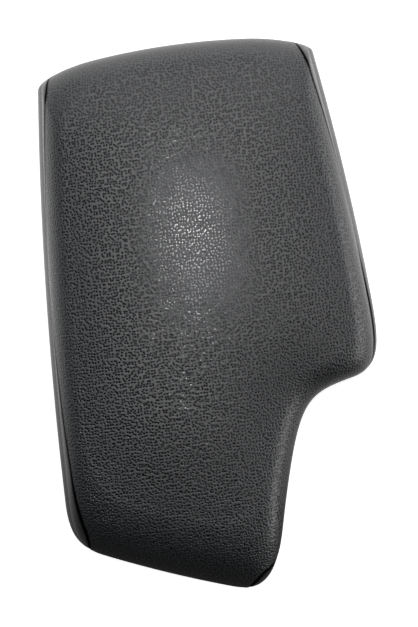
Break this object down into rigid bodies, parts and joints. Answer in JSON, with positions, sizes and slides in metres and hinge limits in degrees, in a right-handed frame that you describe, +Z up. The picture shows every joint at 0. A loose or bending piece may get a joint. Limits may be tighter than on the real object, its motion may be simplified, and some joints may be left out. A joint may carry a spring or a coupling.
{
  "type": "car centre armrest",
  "caption": "Hinged, leather-covered centre console armrest lid with a cut-away for the handbrake lever, a finger latch at the front and a hinge at the rear.",
  "frame": {"origin": "middle of the armrest's footprint, on the plane of the console rim that its buffers and hinge bracket rest on", "axes": "+Z up, +Y towards the hinge at the rear of the lid, +X towards the side with the handbrake cut-away"},
  "size_m": [0.191, 0.315, 0.048],
  "materials": {
    "leather": "grained, satin",
    "foam": "open-cell foam",
    "shell": "as moulded",
    "panel": "fine grained",
    "lever": "satin",
    "nylon": "natural nylon",
    "rubber": "matt",
    "steel": "zinc plated",
    "bright_steel": "ground",
    "spring_steel": "oiled"
  },
  "bodies": {
    "bracket": {"hinge_bracket": "steel", "hinge_pin": "bright_steel", "hinge_washer": "steel", "hinge_clip": "spring_steel", "hinge_spring": "spring_steel"},
    "lid": {"top_cover": "leather", "left_gusset": "leather", "right_gusset": "leather", "foam_pad": "foam", "lid_shell": "shell", "inner_panel": "panel", "panel_screws": "steel", "buffer_rear_left": "rubber", "buffer_rear_right": "rubber", "buffer_front_left": "rubber", "buffer_front_right": "rubber", "latch_pin": "bright_steel", "latch_spring": "spring_steel", "hinge_leaf": "steel", "leaf_screws": "steel", "hinge_bush_left": "nylon", "hinge_bush_right": "nylon"},
    "latch": {"latch_lever": "lever"}
  },
  "joints": [
    {"name": "lid_hinge", "type": "hinge", "parent": "bracket", "child": "lid", "pos_m": [-0.00201, 0.1255, 0.012], "axis": [-1, 0, 0], "range_deg": [0, 98], "deforming": ["hinge_spring"]},
    {"name": "latch_pull", "type": "hinge", "parent": "lid", "child": "latch", "pos_m": [-0.02299, -0.10123, 0.008], "axis": [-0.9385, 0.3453, 0], "range_deg": [0, 18], "stiffness_Nm_per_rad": 0.06, "springref_deg": -20.05, "deforming": ["latch_spring"]}
  ]
}
